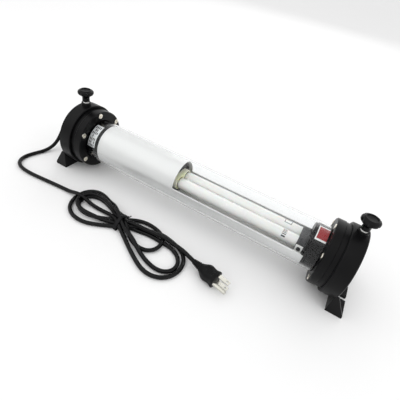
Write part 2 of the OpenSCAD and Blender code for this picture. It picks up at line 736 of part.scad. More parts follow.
// Body: plan outline cut by a side outline
module plug_body() {
    w = plug_w / 2;
    h = plug_h / 2;
    color([0.08, 0.08, 0.08]) at_plug() difference() {
        intersection() {
            translate([0, 0, -h]) linear_extrude(plug_h) polygon([[relief_x1, -6], [relief_x1 + 5, -w + 2],
                [relief_x1 + 8, -w], [plug_face - 1.5, -w], [plug_face, -w + 1.5], [plug_face, w - 1.5],
                [plug_face - 1.5, w], [relief_x1 + 9, w - 1], [relief_x1 + 5, w - 3.5], [relief_x1, 6]]);
            translate([0, w + 5, 0]) rotate([90, 0, 0]) linear_extrude(plug_w + 10) polygon([
                [relief_x1, -5.5], [relief_x1 + 7, -h + 1], [relief_x1 + 10, -h],
                [plug_face - 1, -h], [plug_face, -h + 1],
                [plug_face, h - 1], [plug_face - 1, h], [relief_x1 + 10, h], [relief_x1 + 7, h - 1],
                [relief_x1, 5.5]]);
        }
        blade_pair(plug_face - 8, plug_face + 1);
        bar(plug_face - 8, plug_face + 1, 2.4, ground_y);
    }
}

// Ribbed sleeve where the cord enters the plug
module plug_relief() {
    color([0.08, 0.08, 0.08]) at_plug() difference() {
        union() {
            spin_x([[0, 0.5], [cord_d / 2 + 1.6, 0.5], [5, relief_x1], [0, relief_x1]]);
            for (i = [0 : 3]) bar(1 + 3 * i, 2.5 + 3 * i, 5.6 + 0.15 * i);
        }
        bar(0, 6, cord_d / 2);
    }
}

module blade_pair(x0, x1) {
    for (s = [-1, 1])
        block([x0, blade_y - 3.2, s * blade_gap / 2 - 0.75], [x1, blade_y + 3.2, s * blade_gap / 2 + 0.75]);
}

module plug_blades() {
    color("khaki") at_plug() difference() {
        blade_pair(plug_face - 8, plug_face + 17.5);
        translate([plug_face + 13.5, blade_y, -plug_h]) cylinder(h = 2 * plug_h, r = 1.6, $fn = 32);
    }
}

module plug_ground_pin() {
    color("khaki") at_plug() {
        bar(plug_face - 8, plug_face + 18.5, 2.4, ground_y);
        translate([plug_face + 18.5, ground_y, 0]) sphere(2.4, $fn = 32);
    }
}

clear_tube();
end_cap(LEFT);  // left_end_cap
end_cap(RIGHT);  // right_end_cap
flange(LEFT);  // left_flange
flange(RIGHT);  // right_flange
flange_screw_set(LEFT);  // left_flange_screws
flange_screw_set(RIGHT);  // right_flange_screws
tube_seal(LEFT);  // left_tube_seal
tube_seal(RIGHT);  // right_tube_seal
left_insert();
right_insert();
insert_screw_set(LEFT);  // left_insert_screws
insert_screw_set(RIGHT);  // right_insert_screws
reflector_sleeve();
sleeve_bulkhead();
ballast_tray();
ballast_case();
ballast_screws();
terminal_block();
mains_wires();
lamp_leads();
lamp_tubes();
lamp_base();
lamp_pins();
lampholder();
lampholder_tab();
tab_screw();
lamp_clip();
clip_screw();
rating_label();
warning_label();
gland_body();
gland_locknut();
gland_nut();
strain_relief();
bracket(LEFT);  // left_bracket
pressure_pad(LEFT);  // left_pressure_pad
knob(LEFT);  // left_knob
clamp_screw(LEFT);  // left_clamp_screw
knob_washer(LEFT);  // left_knob_washer
bracket(RIGHT);  // right_bracket
pressure_pad(RIGHT);  // right_pressure_pad
knob(RIGHT);  // right_knob
clamp_screw(RIGHT);  // right_clamp_screw
knob_washer(RIGHT);  // right_knob_washer
cord_entry();
cord_lead();
cord_hank();
cord_tail();
cord_tie();
plug_body();
plug_relief();
plug_blades();
plug_ground_pin();
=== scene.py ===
"""Looks of the sealed tubular lamp: camera, mains cord, tie, plug, materials and studio.

Lengths are metres in the row frame: the tube's axis runs along X, the floor is z = 0.
Names that end in _MM are in millimetres. The cord's route and the plug's place repeat part.scad's.
"""
import json
import math

import bpy
import numpy as np
from mathutils import Matrix, Vector


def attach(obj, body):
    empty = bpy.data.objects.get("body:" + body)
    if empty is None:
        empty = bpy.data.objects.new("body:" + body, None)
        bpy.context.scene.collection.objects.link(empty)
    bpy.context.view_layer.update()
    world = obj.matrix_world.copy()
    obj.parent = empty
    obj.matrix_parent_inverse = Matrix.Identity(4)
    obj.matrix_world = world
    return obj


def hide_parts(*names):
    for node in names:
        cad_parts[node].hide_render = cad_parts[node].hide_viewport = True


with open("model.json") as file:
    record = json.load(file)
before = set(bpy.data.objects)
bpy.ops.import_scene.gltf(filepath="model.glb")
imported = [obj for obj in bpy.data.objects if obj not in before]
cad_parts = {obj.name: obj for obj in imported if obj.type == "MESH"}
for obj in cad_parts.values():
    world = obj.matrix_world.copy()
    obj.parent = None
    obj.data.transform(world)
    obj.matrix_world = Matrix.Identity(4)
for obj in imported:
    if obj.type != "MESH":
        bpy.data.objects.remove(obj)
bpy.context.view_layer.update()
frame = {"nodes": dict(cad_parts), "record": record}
MM = 0.001


# ---------------------------------------------------------------- camera
SENSOR_MM = 36
LENS_MM = 28.216
CAMERA_PLACE = (0.14706, -0.36512, 0.35259)
CAMERA_AXES = (  # its columns are the camera's right, up and backward directions
    (0.8563, -0.4352, 0.2782),
    (0.4848, 0.4913, -0.7236),
    (0.1782, 0.7545, 0.6317),
)
camera_data = bpy.data.cameras.new("camera")
camera_data.sensor_width = SENSOR_MM
camera_data.lens = LENS_MM
camera_data.clip_start = 0.01
camera = bpy.data.objects.new("camera", camera_data)
bpy.context.scene.collection.objects.link(camera)
camera_turn = Matrix(CAMERA_AXES).to_quaternion().to_matrix().to_4x4()  # the quaternion drops rounding errors
camera.matrix_world = Matrix.Translation(CAMERA_PLACE) @ camera_turn
bpy.context.scene.camera = camera


# ---------------------------------------------------------------- mesh helpers
def mesh_piece(name, verts, faces):
    """A smooth mesh piece that rides on the lamp and takes its finish from a slot."""
    mesh = bpy.data.meshes.new(name)
    mesh.from_pydata([tuple(v) for v in verts], [], faces)
    mesh.validate()
    mesh.update()
    for polygon in mesh.polygons:
        polygon.use_smooth = True
    piece = bpy.data.objects.new(name, mesh)
    bpy.context.scene.collection.objects.link(piece)
    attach(piece, "lamp")
    return piece


def loft(rings, closed=False):
    """Quads between rings of equal length; closed joins the last ring to the first, open ends get a face."""
    count = len(rings[0])
    verts = [p for ring in rings for p in ring]
    faces = []
    for k in range(len(rings) if closed else len(rings) - 1):
        a, b = k * count, ((k + 1) % len(rings)) * count
        for j in range(count):
            n = (j + 1) % count
            faces.append((a + j, a + n, b + n, b + j))
    if not closed:
        faces.append(tuple(reversed(range(count))))
        faces.append(tuple(range((len(rings) - 1) * count, len(rings) * count)))
    return verts, faces


def tube_rings(path, radius, count):
    """Rings of a round tube along a path of Vectors, with a frame carried along it."""
    across = None
    rings = []
    for k, point in enumerate(path):
        along = (path[min(k + 1, len(path) - 1)] - path[max(k - 1, 0)]).normalized()
        if across is None:
            across = along.orthogonal().normalized()
        across = (across - along * across.dot(along)).normalized()
        side = along.cross(across)
        rings.append([point + (across * math.cos(t) + side * math.sin(t)) * radius
                      for t in (2 * math.pi * j / count for j in range(count))])
    return rings


# ---------------------------------------------------------------- mains cord
CORD_D_MM = 6.2
LIE_MM = 3.2  # height of the centreline where the cord lies on the floor
LEAD_MM = [
    (-268, 0, 55), (-273, 0, 54.6), (-279, -0.3, 52.4), (-284.5, -1, 48), (-288.8, -2.6, 41),
    (-291.8, -5.5, 32), (-293.6, -10.5, 22.5), (-295.3, -18, 13.5), (-297.8, -27.5, 7),
    (-300.5, -37, 4), (-303, -47, 3.2), (-306, -58, 3.2), (-308, -69, 3.2), (-307.3, -80, 3.2),
    (-301.5, -90, 3.2), (-291, -96.8, 3.2), (-276, -99.5, 3.2), (-258, -99.3, 3.2),
    (-236, -97, 3.2), (-214, -94.5, 3.2), (-192, -92.5, 3.2),
]
# The hank: one list per pass through the tie and round a fold, as x, y, and z where the cord
# rises to the plug.
HANK_MM = [
    [(-178, -92), (-163, -92), (-148, -92.5), (-130, -93), (-112, -93), (-98, -93), (-86, -96),
     (-73, -102.5), (-61, -109), (-48, -117), (-33, -126), (-20, -133.5), (-8, -139.5), (3, -144),
     (13, -145.5), (25, -143.5), (35, -137.5), (42, -128), (45, -115)],
    [(43, -101.5), (36, -90.5), (25, -83), (11, -79.5), (-5, -79), (-20, -80.5), (-35, -84.5),
     (-48, -90), (-60, -97), (-73, -105.3), (-85, -112), (-97, -119), (-109, -125), (-122, -128.5),
     (-137, -127.5), (-149, -122.5), (-158.5, -113.5), (-163.5, -103), (-165.5, -92)],
    [(-164.5, -80.5), (-159.5, -71), (-151.5, -65), (-141, -63), (-128, -66), (-114, -72.5),
     (-101, -79), (-88, -86.5), (-73, -96), (-58, -104), (-45, -110), (-32, -116), (-15, -124),
     (0, -129.5), (14, -132.5), (26, -131.5), (35, -125.5), (38.5, -115.5)],
    [(36, -104.5), (28, -95.5), (16, -90), (2, -88.5), (-15, -88), (-35, -90), (-55, -94.5),
     (-73, -99.1), (-90, -104), (-103, -109.5), (-118, -113.5), (-133, -114), (-145, -110.5),
     (-153.5, -103), (-156.5, -93.5)],
    [(-154.5, -84), (-147, -77.5), (-136, -75), (-122, -76), (-109, -79), (-96, -83.5),
     (-84, -86.5), (-73, -90), (-65, -95.5), (-56, -102.5), (-46, -109), (-34, -114.5), (-22, -117),
     (-11, -114.5), (-3.3, -107.3), (-0.3, -97.5)],
    [(-2.3, -87.5), (-9, -79), (-20, -73.3), (-35, -71), (-50, -72.5), (-62, -78), (-73, -86.5),
     (-84, -95), (-96, -102.5), (-108, -108), (-121, -112), (-134, -112.5), (-145, -109),
     (-152.5, -101.5), (-154.5, -92)],
    [(-152, -82.5), (-144, -76), (-132, -74), (-115, -77.5), (-101, -82), (-88, -88), (-73, -92.8),
     (-58, -92), (-43, -89.5), (-26, -86), (-10, -84), (8, -83.6, 3.4), (21, -84.6, 5.4),
     (33, -87.2, 7.6), (43, -90.4, 9.2)],
]
TAIL_MM = [(50, -93.2, 10.2), (56, -95.5, 10.9)]
LOWEST_FIRST = [6, 4, 2, 7, 5, 3, 1]  # which pass lies under which, numbered from 1
SPLINE_STEPS = 12

# The solver that settles the passes on each other. Names in _D are cord diameters, names in
# _STEPS are points of the centreline.
STEP_MM = 3.0
ROUNDS = 260
SEARCH_EVERY = 10  # rounds between two searches for close pairs
PUSHES = 3  # contact passes in each round
OVER_PUSH = 1.2  # pushes are made a little longer, so fewer rounds are needed
SKIP_D = 2.6  # points nearer than this along the cord aren't a pair
NEAR_D = 2.2  # pairs nearer than this are watched
CROSSING_D = 0.72  # pairs nearer than this in plan are one pass over another
CROSSING_RISE = 0.5  # the least rise of the upper pass, as a share of what clears the lower
CROSSING_SIDEWAYS = 0.35  # share of the sideways push left at a crossing
ON_FLOOR_MM = 3.6  # a centreline lower than this has a cord on the floor under it
FLOOR_SHARES = (1.7, 0.5)  # of a push, for the upper and the lower point of a pair on the floor
SLACK_MM = 0.05  # the cord may sink this far below its drawn height
RISE_PER_PASS_MM = 2.1  # the start's height for each place in LOWEST_FIRST
LEAD_FREE_STEPS = 16  # of the lead, next to the hank, may move; the rest stays as drawn
TAIL_FIXED_STEPS = 5  # at the plug stay as drawn
TAIL_RAMP_STEPS = 14  # over which the start's height fades out towards them
BEND_EVEN = 0.5  # share of each round's evening of the bends
HEIGHT_EVEN = 0.10  # share of each round's evening of the height
PULL_HOME = 0.06  # share of the way back to the drawn place, each round
SINK_MM = 0.06  # the weight: how far a raised point sinks each round
LOWEST_MM = 3.1  # of the finished centreline
ROUTE_SIGMA = 2.6  # smoothing widths, in points
RANK_SIGMA = 4.0
LAST_SIGMAS = (2.6, 2.2)
TINY = 1e-9  # keeps a division from meeting zero


def spline(points, steps):
    """Catmull-Rom curve through the points, with as many columns as they have."""
    q = np.vstack([2 * points[0] - points[1], points, 2 * points[-1] - points[-2]])
    out = []
    for p0, p1, p2, p3 in zip(q, q[1:], q[2:], q[3:]):
        for t in np.arange(0, 1, 1 / steps):
            out.append(0.5 * (2 * p1 + (p2 - p0) * t + (2 * p0 - 5 * p1 + 4 * p2 - p3) * t * t
                              + (3 * p1 - p0 - 3 * p2 + p3) * t ** 3))
    return np.array(out + [q[-2]])


def resample(curve, step):
    """Points a step apart along the curve, with its extra columns."""
    s = np.r_[0, np.cumsum(np.linalg.norm(np.diff(curve[:, :3], axis=0), axis=1))]
    at = np.linspace(0, s[-1], int(round(s[-1] / step)) + 1)
    return np.stack([np.interp(at, s, curve[:, k]) for k in range(curve.shape[1])], 1)


def blur(v, sigma):
    """Gaussian smoothing of a list of numbers, its ends kept."""
    k = np.arange(-int(3 * sigma), int(3 * sigma) + 1)
    w = np.exp(-0.5 * (k / sigma) ** 2)
    w /= w.sum()
    pad = len(k) // 2
    return np.convolve(np.concatenate([2 * v[0] - v[pad:0:-1], v, 2 * v[-1] - v[-2:-pad - 2:-1]]), w, "valid")


def smooth_columns(q, sigma):
    """Smooths x, y and z, and gives back what smoothing takes off a curve's size."""
    once = np.stack([blur(q[:, k], sigma) for k in range(3)], 1)
    return 2 * once - np.stack([blur(once[:, k], sigma) for k in range(3)], 1)


def drawn_route():
    """The drawn centreline in mm, one step apart, and each point's pass through the hank, from 1."""
    rows = [(*p, 0) for p in LEAD_MM]
    for number, part in enumerate(HANK_MM, 1):
        rows += [(p[0], p[1], p[2] if len(p) > 2 else LIE_MM, number) for p in part]
    rows += [(*p, len(HANK_MM)) for p in TAIL_MM]
    rows = np.array(rows, float)
    passes = np.r_[np.repeat(rows[:-1, 3], SPLINE_STEPS), rows[-1, 3]]
    route = resample(np.c_[spline(rows[:, :3], SPLINE_STEPS), passes], STEP_MM)
    return route[:, :3], np.maximum(np.round(route[:, 3]).astype(int), 1)


def push_apart(q, i, j, rank, weight):
    """Moves overlapping pairs i, j of the centreline q off each other, the higher rank over the lower."""
    apart = q[i] - q[j]
    inside = np.clip(CORD_D_MM - (np.sqrt((apart ** 2).sum(1)) + TINY), 0, None)
    hit = inside > 0
    a, b, way = i[hit], j[hit], apart[hit]
    flat = np.hypot(way[:, 0], way[:, 1])
    sign = np.sign(rank[a] - rank[b])
    lift = np.sqrt(np.maximum(CORD_D_MM * CORD_D_MM - flat * flat, 0)) * sign
    crossing = flat < CROSSING_D * CORD_D_MM
    too_low = way[:, 2] * sign < CROSSING_RISE * np.abs(lift)
    way[:, 2] = np.where(crossing & too_low, CROSSING_RISE * lift, way[:, 2])
    way[:, :2] *= np.where(crossing, CROSSING_SIDEWAYS, 1.0)[:, None]
    push = way / (np.sqrt((way ** 2).sum(1)) + TINY)[:, None] * inside[hit][:, None] / 2
    on_floor = np.minimum(q[a, 2], q[b, 2]) < ON_FLOOR_MM
    a_upper = q[a, 2] > q[b, 2]
    upper_share, lower_share = FLOOR_SHARES
    a_share = np.where(on_floor, np.where(a_upper, upper_share, lower_share), 1.0)
    b_share = np.where(on_floor, np.where(a_upper, lower_share, upper_share), 1.0)
    move, touched = np.zeros_like(q), np.zeros(len(q))
    np.add.at(move, a, push * a_share[:, None])
    np.add.at(move, b, -push * b_share[:, None])
    np.add.at(touched, a, 1)
    np.add.at(touched, b, 1)
    q += move / np.maximum(touched, 1)[:, None] * OVER_PUSH * weight


def settle_cord():
    """The cord's centreline in mm: the drawn route, with its passes settled on and beside each other."""
    route, passes = drawn_route()
    count = len(route)
    index = np.arange(count)
    home = smooth_columns(route, ROUTE_SIGMA)
    home[:, 2] = np.maximum(home[:, 2], LIE_MM)
    home[0], home[-1] = route[0], route[-1]
    hank_starts = int(np.argmin(np.abs(route[:, :2] - LEAD_MM[-1][:2]).sum(1)))
    free_from = hank_starts - LEAD_FREE_STEPS
    free_to = count - TAIL_FIXED_STEPS
    rank = blur(np.array([LOWEST_FIRST.index(i) for i in passes], float), RANK_SIGMA)
    free = (index > free_from) & (index < free_to)
    ramp_up = np.clip((index - free_from) / LEAD_FREE_STEPS, 0, 1)
    ramp = ramp_up * np.clip((free_to - index) / TAIL_RAMP_STEPS, 0, 1)
    weight = free.astype(float)[:, None]
    low, high = np.triu_indices(count, int(SKIP_D * CORD_D_MM / STEP_MM))
    q = home.copy()
    q[:, 2] += np.where(free, ramp * rank * RISE_PER_PASS_MM, 0)
    for round_no in range(ROUNDS):
        if round_no % SEARCH_EVERY == 0:
            near = ((q[low] - q[high]) ** 2).sum(1) < (NEAR_D * CORD_D_MM) ** 2
            i, j = low[near], high[near]
        for _ in range(PUSHES):
            push_apart(q, i, j, rank, weight)
            q[:, 2] = np.maximum(q[:, 2], home[:, 2] - SLACK_MM)
        even = np.zeros_like(q)
        even[2:-2] = (-q[:-4] + 4 * q[1:-3] + 10 * q[2:-2] + 4 * q[3:-1] - q[4:]) / 16 - q[2:-2]
        q += BEND_EVEN * even * weight
        even = np.zeros_like(q)
        even[1:-1] = 0.5 * (q[:-2] + q[2:]) - q[1:-1]
        q[:, 2] += HEIGHT_EVEN * even[:, 2] * weight[:, 0]
        q[:, :2] += PULL_HOME * (home[:, :2] - q[:, :2]) * weight
        q[:, 2] -= SINK_MM * weight[:, 0] * (q[:, 2] > LIE_MM)
        q[:, 2] = np.maximum(q[:, 2], home[:, 2] - SLACK_MM)
    for sigma in LAST_SIGMAS:
        smooth = smooth_columns(q, sigma)
        smooth[:, 2] = blur(q[:, 2], sigma)
        q = np.where(weight > 0, smooth, q)
    q[:, 2] = np.maximum(q[:, 2], LOWEST_MM)
    return q


CORD_SIDES = 20
cord_line = settle_cord()
cord_path = [Vector(p) for p in cord_line * MM]
verts, faces = loft(tube_rings(cord_path, CORD_D_MM / 2 * MM, CORD_SIDES))
mains_cord = mesh_piece("mains_cord", verts, faces)
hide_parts("cord_entry", "cord_lead", "cord_hank", "cord_tail")

# ---------------------------------------------------------------- tie round the hank
TIE_X_MM = -73
TIE_WIDE_MM = 5.0
TIE_THICK_MM = 0.9
TIE_REACH_MM = 4.5  # the cord's points this near in x are inside the tie
TIE_GAP_MM = 0.05
TIE_LOW = 0.6  # height of the strap's middle over the floor, in thicknesses
# The strap's section with a shallow groove outside, in half widths and half thicknesses.
TIE_SECTION = (
    (-1, -0.5), (-0.86, -1), (0.86, -1), (1, -0.5), (1, 0.5), (0.86, 1),
    (0.3, 1), (0, 0.72), (-0.3, 1), (-0.86, 1), (-1, 0.5),
)
# The tie's two ends, twisted round each other.
END_POINTS = 40
END_HALF_TURNS = 4.5
END_LONG_MM = 12
END_ASIDE_MM = 5
END_START_MM = 1.0
END_RADIUS_MM = 0.75
END_SIDES = 10
COIL_RADIUS_MM = 1.15
COIL_OPENS = 0.72  # share of the length after which they part
COIL_OPENS_MM = 7  # growth of the coil's radius over a whole length
COIL_LEAN = 0.2
COIL_FLAT = 0.8
END_RISE_MM = (0.9, 2.2)  # at the start, and added on the way
END_RISE_RATE = 1.6
TOP_LEAN = 0.15  # moves the ends' root a little to the front of the loop's highest point


def outline_round(points, radius, count=72):
    """The tight loop round discs of one radius, as points in order."""
    angles = np.linspace(0, 2 * math.pi, count * 8, endpoint=False)
    ways = np.stack([np.cos(angles), np.sin(angles)], 1)
    reach = (points @ ways.T).max(0) + radius
    corners = []
    for k in range(len(angles)):
        n = (k + 1) % len(angles)
        corners.append(np.linalg.solve(ways[[k, n]], reach[[k, n]]))
    corners = np.array(corners + [corners[0]])
    s = np.r_[0, np.cumsum(np.linalg.norm(np.diff(corners, axis=0), axis=1))]
    at = np.linspace(0, s[-1], count, endpoint=False)
    return np.stack([np.interp(at, s, corners[:, k]) for k in (0, 1)], 1)


def strap_rings(loop):
    """The tie's section at each (y, z) point of a loop."""
    rings = []
    for k, (y, z) in enumerate(loop):
        ahead, behind = loop[(k + 1) % len(loop)], loop[k - 1]
        tangent = (ahead - behind) / np.linalg.norm(ahead - behind)
        normal = np.array([tangent[1], -tangent[0]])
        ring = []
        for u, v in TIE_SECTION:
            off = normal * v * TIE_THICK_MM / 2
            ring.append(Vector((TIE_X_MM + u * TIE_WIDE_MM / 2, y + off[0], z + off[1])) * MM)
        rings.append(ring)
    return rings


def twisted_end(top, phase):
    """The path of one of the tie's two ends, twisted round the other from the loop's (y, z) top."""
    lift, climb = END_RISE_MM
    path = []
    for k in range(END_POINTS):
        t = k / (END_POINTS - 1)
        swing = phase + t * END_HALF_TURNS * math.pi
        r = COIL_RADIUS_MM if t < COIL_OPENS else COIL_RADIUS_MM + (t - COIL_OPENS) * COIL_OPENS_MM
        rise = top[1] + lift + climb * math.sin(min(1, t * END_RISE_RATE) * math.pi / 2)
        path.append(Vector((
            TIE_X_MM + END_START_MM + t * END_LONG_MM + COIL_LEAN * r * math.sin(swing),
            top[0] + r * math.cos(swing) + END_ASIDE_MM * t,
            rise + r * COIL_FLAT * math.sin(swing),
        )) * MM)
    return path


under_tie = cord_line[np.abs(cord_line[:, 0] - TIE_X_MM) < TIE_REACH_MM]
loop = outline_round(under_tie[:, 1:3], CORD_D_MM / 2 + TIE_THICK_MM * 0.5 + TIE_GAP_MM)
loop[:, 1] = np.maximum(loop[:, 1], TIE_THICK_MM * TIE_LOW)
verts, faces = loft(strap_rings(loop), closed=True)
loop_top = loop[int(np.argmax(loop[:, 1] - TOP_LEAN * loop[:, 0]))]
for phase in (0, math.pi):
    more, more_faces = loft(tube_rings(twisted_end(loop_top, phase), END_RADIUS_MM * MM, END_SIDES))
    faces += [tuple(i + len(verts) for i in f) for f in more_faces]
    verts += more
hank_tie = mesh_piece("hank_tie", verts, faces)
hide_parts("cord_tie")

# ---------------------------------------------------------------- plug
PLUG_PLACE_MM = (55, -95.3, 10.9)
PLUG_TURN = math.radians(-12)
PLUG_SIDES = 64
# along, half width, half height, squareness
PLUG_SECTIONS_MM = [
    (12.6, 5.4, 5.4, 2.0), (13.4, 6.2, 6.0, 2.0), (15.5, 7.0, 6.6, 2.1), (18.5, 8.9, 7.7, 2.3),
    (21.5, 10.5, 8.9, 2.6), (24.5, 11.2, 9.7, 2.9), (27.5, 11.2, 9.6, 3.1), (31, 10.5, 9.2, 3.2),
    (34.5, 10.2, 9.3, 3.2), (37, 10.6, 9.8, 3.2), (39, 11.3, 10.4, 3.2), (41.2, 11.4, 10.45, 3.2),
    (41.8, 11.2, 10.25, 3.2), (42, 10.8, 9.9, 3.2),
]
SECTION_STEPS = 8
GRIP_MM = (23.5, 36.5)
GRIP_PITCH_MM = 2.6
GRIP_DEEP_MM = 0.42
GRIP_WIDE = 0.62  # of the half width
GRIP_FADE = 3  # how fast the ribs reach their depth from their ends
RELIEF_LONG_MM = 13.4
RELIEF_STEPS = 160
RELIEF_SIDES = 40
RELIEF_THIN_MM = 3.25  # radius at the cord
RELIEF_GROWS_MM = 2.35  # radius added towards the plug
RELIEF_CURVE = 1.15
RINGS_MM = (0.6, 12.3)  # the stretch with rings on it
RING_PITCH_MM = 2.35
RING_HIGH_MM = 0.75
RING_SQUARE = 0.55
plug_place = Matrix.Translation(Vector(PLUG_PLACE_MM) * MM) @ Matrix.Rotation(PLUG_TURN, 4, "Z")


def plug_point(x, y, z):
    """A point of the plug, given along, across and above its own axis in mm."""
    return plug_place @ (Vector((x, y, z)) * MM)


def plug_ring(x, half_w, half_h, power):
    """A cross-section of the plug: a superellipse, with the grip's ribs as a small change of height."""
    rib = 0.0
    if GRIP_MM[0] < x < GRIP_MM[1]:
        rib = GRIP_DEEP_MM * (0.5 - 0.5 * math.cos(2 * math.pi * (x - GRIP_MM[0]) / GRIP_PITCH_MM))
    ring = []
    for j in range(PLUG_SIDES):
        t = 2 * math.pi * j / PLUG_SIDES
        c, s = math.cos(t), math.sin(t)
        y = half_w * math.copysign(abs(c) ** (2 / power), c)
        z = half_h * math.copysign(abs(s) ** (2 / power), s)
        flat = max(0.0, 1 - abs(y) / (GRIP_WIDE * half_w))
        ring.append(plug_point(x, y, z - math.copysign(rib * min(1, flat * GRIP_FADE), s)))
    return ring


def relief_ring(x):
    """A cross-section of the ribbed strain relief behind the plug: a tapered core with rings on it."""
    radius = RELIEF_THIN_MM + RELIEF_GROWS_MM * (x / RELIEF_LONG_MM) ** RELIEF_CURVE
    if RINGS_MM[0] < x < RINGS_MM[1]:
        wave = max(0.0, math.sin(2 * math.pi * (x - RINGS_MM[0]) / RING_PITCH_MM))
        radius += RING_HIGH_MM * wave ** RING_SQUARE
    angles = (2 * math.pi * j / RELIEF_SIDES for j in range(RELIEF_SIDES))
    return [plug_point(x, radius * math.cos(t), radius * math.sin(t)) for t in angles]


sections = spline(np.array(PLUG_SECTIONS_MM), SECTION_STEPS)
verts, faces = loft([plug_ring(*map(float, section)) for section in sections])
plug_shell = mesh_piece("plug_shell", verts, faces)
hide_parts("plug_body")

verts, faces = loft([relief_ring(RELIEF_LONG_MM * k / RELIEF_STEPS) for k in range(RELIEF_STEPS + 1)])
plug_ribs = mesh_piece("plug_ribs", verts, faces)
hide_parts("plug_relief")


# ---------------------------------------------------------------- materials
AXIS_Z = 0.055  # height of the tube's axis
NOISE_ROUGH = 0.55
EDGE_SOFT = 0.00015  # half the blur at the edge of a mark
PLASTIC_SHINE = 0.13
CORD_SHINE = 0.19
RUBBED_GREY = (0.035, 0.035, 0.038)


class Shader:
    """A node-based material round one Principled shader, in object coordinates (metres)."""

    def __init__(self, name, colour, rough, metal=0.0):
        self.material = bpy.data.materials.new(name)
        self.material.use_nodes = True
        self.tree = self.material.node_tree
        self.surface = self.tree.nodes["Principled BSDF"]
        self.place = self.node("ShaderNodeTexCoord").outputs["Object"]
        self.surface.inputs["Base Color"].default_value = (*colour, 1)
        self.surface.inputs["Roughness"].default_value = rough
        self.surface.inputs["Metallic"].default_value = metal
        self.rough = rough
        self.colour_out = None
        self.colour = colour
        self.normal = None

    def node(self, kind, **values):
        """A new node, with values for its own settings."""
        made = self.tree.nodes.new(kind)
        for key, value in values.items():
            setattr(made, key, value)
        return made

    def link(self, source, target):
        """Joins an output socket to an input socket."""
        self.tree.links.new(source, target)

    def set(self, **values):
        """Plain values on the Principled node's own sockets, spelled with _ for a space."""
        for key, value in values.items():
            self.surface.inputs[key.replace("_", " ")].default_value = value
        return self

    def noise(self, scale, detail, stretch=(1, 1, 1)):
        """Noise in object coordinates; scale is in cells a metre."""
        mapping = self.node("ShaderNodeMapping")
        mapping.inputs["Scale"].default_value = stretch
        self.link(self.place, mapping.inputs["Vector"])
        made = self.node("ShaderNodeTexNoise")
        made.inputs["Scale"].default_value = scale
        made.inputs["Detail"].default_value = detail
        made.inputs["Roughness"].default_value = NOISE_ROUGH
        self.link(mapping.outputs["Vector"], made.inputs["Vector"])
        return made.outputs["Fac"]

    def ranged(self, value, low, high, out_low, out_high):
        """A value mapped from low..high to out_low..out_high, and held at the ends."""
        made = self.node("ShaderNodeMapRange")
        for key, number in (("From Min", low), ("From Max", high), ("To Min", out_low), ("To Max", out_high)):
            made.inputs[key].default_value = number
        self.link(value, made.inputs["Value"])
        return made.outputs["Result"]

    def math(self, kind, *values):
        """One math operation on sockets or numbers."""
        made = self.node("ShaderNodeMath", operation=kind)
        for socket, value in zip(made.inputs, values):
            if isinstance(value, (int, float)):
                socket.default_value = value
            else:
                self.link(value, socket)
        return made.outputs["Value"]

    def mix(self, factor, a, b):
        """Colour a where the factor is 0 and b where it is 1; each is a socket or a colour."""
        made = self.node("ShaderNodeMix", data_type="RGBA")
        self.link(factor, made.inputs["Factor"])
        colour_inputs = [socket for socket in made.inputs if socket.type == "RGBA"]
        for socket, value in zip(colour_inputs, (a, b)):
            if isinstance(value, tuple):
                socket.default_value = (*value, 1)
            else:
                self.link(value, socket)
        return [socket for socket in made.outputs if socket.type == "RGBA"][0]

    def split(self):
        """The X, Y and Z outputs of the object coordinates."""
        made = self.node("ShaderNodeSeparateXYZ")
        self.link(self.place, made.inputs["Vector"])
        return made.outputs

    def tone(self, scale, spread, stretch=(1, 1, 1)):
        """Slow variation of the colour."""
        factor = self.ranged(self.noise(scale, 4, stretch), 0.3, 0.7, 0, 1)
        dark = tuple(c * (1 - spread) for c in self.colour)
        light = tuple(min(1, c * (1 + spread)) for c in self.colour)
        self.colour_out = self.mix(factor, dark, light)
        return self

    def gloss(self, scale, spread, stretch=(1, 1, 1)):
        """Variation of the roughness."""
        low, high = max(0.02, self.rough - spread), min(1, self.rough + spread)
        value = self.ranged(self.noise(scale, 5, stretch), 0.25, 0.75, low, high)
        self.link(value, self.surface.inputs["Roughness"])
        return self

    def soft_edges(self, radius):
        """Rounds the light on sharp edges."""
        made = self.node("ShaderNodeBevel", samples=4)
        made.inputs["Radius"].default_value = radius
        self.normal = made.outputs["Normal"]
        return self

    def bump(self, scale, strength, distance, detail=4.0, stretch=(1, 1, 1)):
        """Fine relief such as moulded grain or brushing."""
        made = self.node("ShaderNodeBump")
        made.inputs["Strength"].default_value = strength
        made.inputs["Distance"].default_value = distance
        self.link(self.noise(scale, detail, stretch), made.inputs["Height"])
        if self.normal is not None:
            self.link(self.normal, made.inputs["Normal"])
        self.normal = made.outputs["Normal"]
        return self

    def wear(self, radius, colour, amount):
        """Lighter, rubbed edges: where the rounded normal leaves the flat one."""
        rounded = self.node("ShaderNodeBevel", samples=4)
        rounded.inputs["Radius"].default_value = radius
        flat = self.node("ShaderNodeNewGeometry")
        dot = self.node("ShaderNodeVectorMath", operation="DOT_PRODUCT")
        self.link(rounded.outputs["Normal"], dot.inputs[0])
        self.link(flat.outputs["Normal"], dot.inputs[1])
        edge = self.ranged(dot.outputs["Value"], 0.9, 0.995, 1, 0)
        patchy = self.ranged(self.noise(140, 5), 0.42, 0.62, 0.15, 1)
        factor = self.product(edge, patchy, amount)
        return self.paint(factor, colour)

    def within(self, axis, low, high):
        """1 where an object coordinate lies between two values."""
        value = self.split()[axis]
        rise = self.ranged(value, low - EDGE_SOFT, low + EDGE_SOFT, 0, 1)
        fall = self.ranged(value, high - EDGE_SOFT, high + EDGE_SOFT, 1, 0)
        return self.product(rise, fall)

    def product(self, *factors):
        """Two or more factors multiplied."""
        result = factors[0]
        for factor in factors[1:]:
            result = self.math("MULTIPLY", result, factor)
        return result

